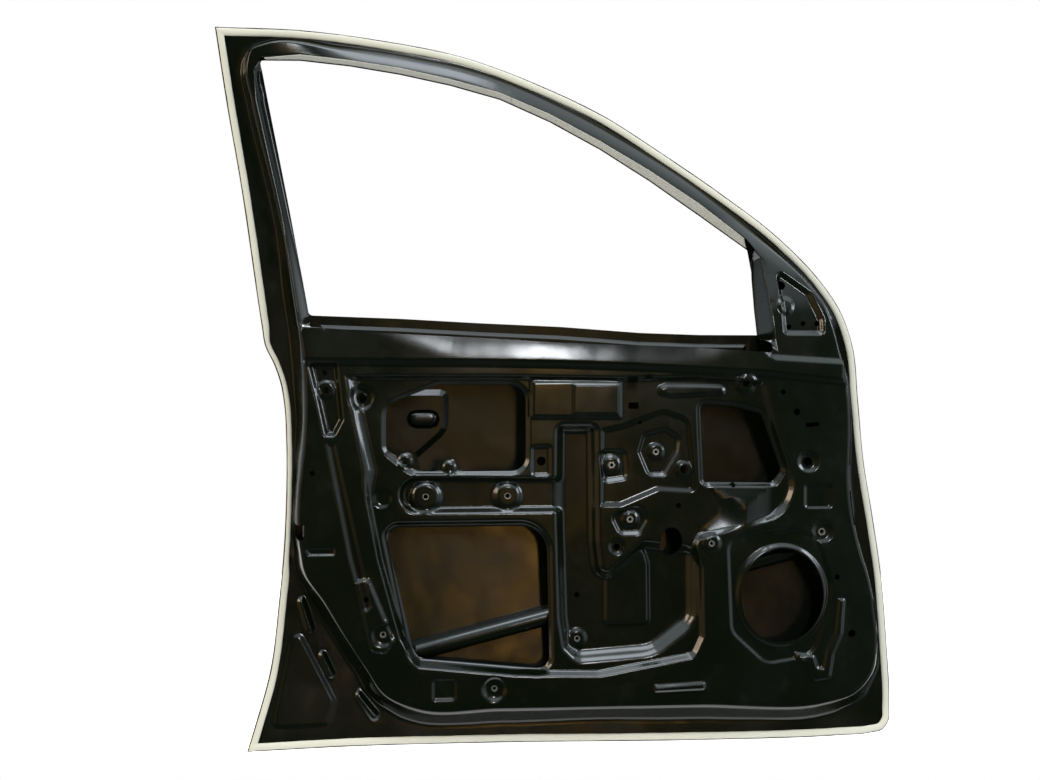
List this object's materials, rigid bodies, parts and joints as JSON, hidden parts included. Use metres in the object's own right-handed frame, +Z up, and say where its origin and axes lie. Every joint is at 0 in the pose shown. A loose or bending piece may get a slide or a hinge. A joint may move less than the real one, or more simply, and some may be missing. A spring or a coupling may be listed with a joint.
{
  "type": "car door shell",
  "caption": "Bare left front car door shell: curved outer skin hemmed over a pressed inner panel with window frame, service openings, reinforcements and impact beam.",
  "frame": {"origin": "middle of the upper hinge face on the sloping front wall of the inner panel", "axes": "+Z up, +X towards the front of the car, -Y towards the cabin and +Y towards the outside; the door keeps its upright stance"},
  "size_m": [1.05, 0.1158, 1.0846],
  "materials": {
    "black_coat": "glossy black electrocoat",
    "cream_sealer": "satin cream seam sealer",
    "pale_glass_run": "matt pale grey",
    "coated_steel": "semi-gloss black electrocoat",
    "zinc_nut": "dull zinc"
  },
  "bodies": {
    "root": {"beam_bracket_front": "coated_steel", "beam_bracket_rear": "coated_steel", "belt_reinforcement_inner": "coated_steel", "belt_reinforcement_outer": "coated_steel", "check_reinforcement": "coated_steel", "handle_reinforcement": "coated_steel", "hem_sealer_bead": "cream_sealer", "hinge_reinforcement_lower": "coated_steel", "hinge_reinforcement_upper": "coated_steel", "impact_beam": "coated_steel", "inner_panel": "black_coat", "latch_reinforcement": "coated_steel", "mirror_reinforcement": "coated_steel", "outer_panel": "black_coat", "run_strip_front": "pale_glass_run", "run_strip_rear": "pale_glass_run", "weld_nut_basin_foot": "zinc_nut", "weld_nut_bridge_front": "zinc_nut", "weld_nut_bridge_rear": "zinc_nut", "weld_nut_foot_boss": "zinc_nut", "weld_nut_front_lower": "zinc_nut", "weld_nut_low_boss": "zinc_nut", "weld_nut_mid_boss": "zinc_nut", "weld_nut_side_lower": "zinc_nut", "weld_nut_speaker_boss": "zinc_nut", "weld_nut_triangle_boss": "zinc_nut"}
  },
  "joints": []
}
